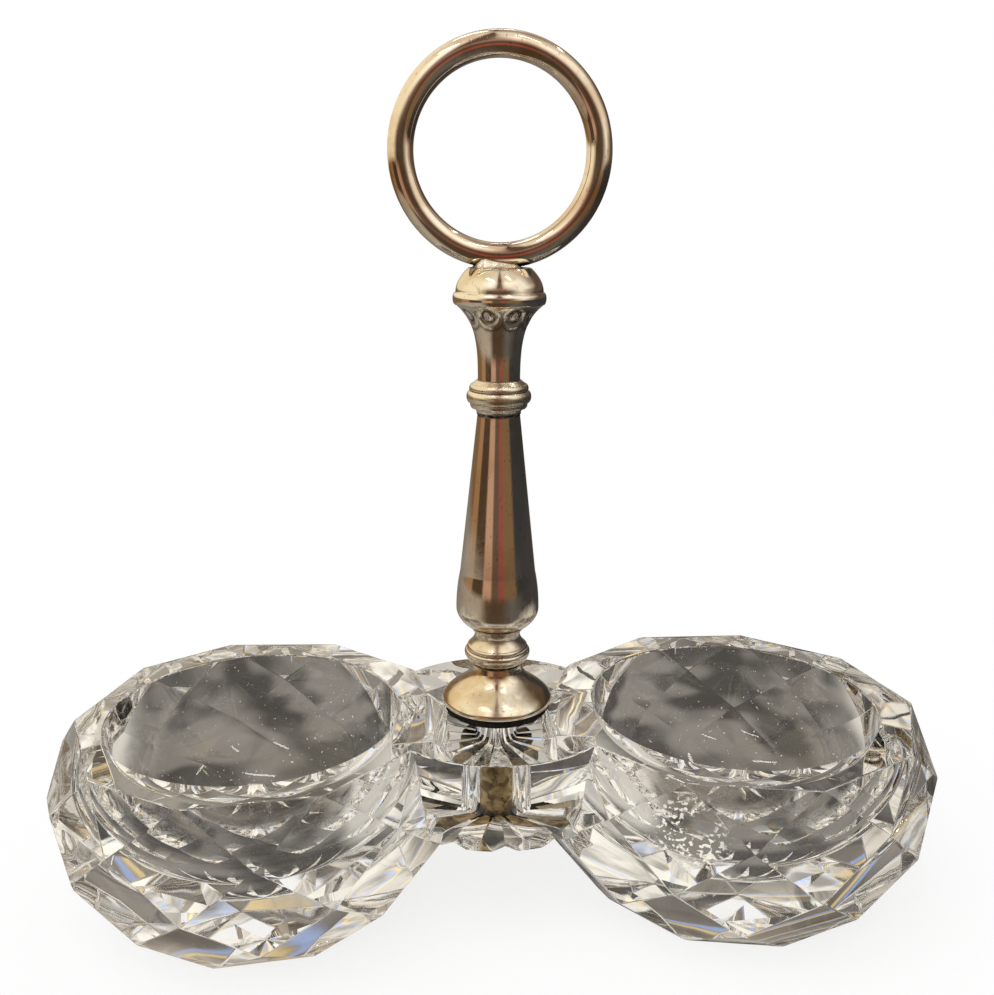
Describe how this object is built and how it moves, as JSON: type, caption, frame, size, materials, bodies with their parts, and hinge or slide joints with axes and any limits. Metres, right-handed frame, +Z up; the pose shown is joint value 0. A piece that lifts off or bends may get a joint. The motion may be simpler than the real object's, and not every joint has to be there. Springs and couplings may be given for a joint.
{
  "type": "double salt cellar",
  "caption": "Two faceted crystal bowls joined by a round hub, with a turned silver stem clamped through it and a finger ring on top.",
  "frame": {"origin": "on the table, under the middle of the hub", "axes": "+Z up along the stem; +X along the line of the two bowls; the finger ring lies in the XZ plane"},
  "size_m": [0.1497, 0.0685, 0.1385],
  "materials": {
    "crystal": "clear cut lead crystal, polished facets",
    "silver": "polished silver plate with a warm tarnish",
    "worn_silver": "polished silver plate, worn and yellowed",
    "tarnished_brass": "dull, tarnished",
    "gasket": "dark and matt"
  },
  "bodies": {
    "root": {"glass_body": "crystal", "foot_gasket": "gasket", "foot_flange": "worn_silver", "base_knop": "silver", "baluster": "silver", "collar": "silver", "capital": "silver", "finger_ring": "silver", "tie_stud": "tarnished_brass", "hub_gasket": "gasket", "hub_washer": "tarnished_brass", "clamp_nut": "tarnished_brass"}
  },
  "joints": []
}
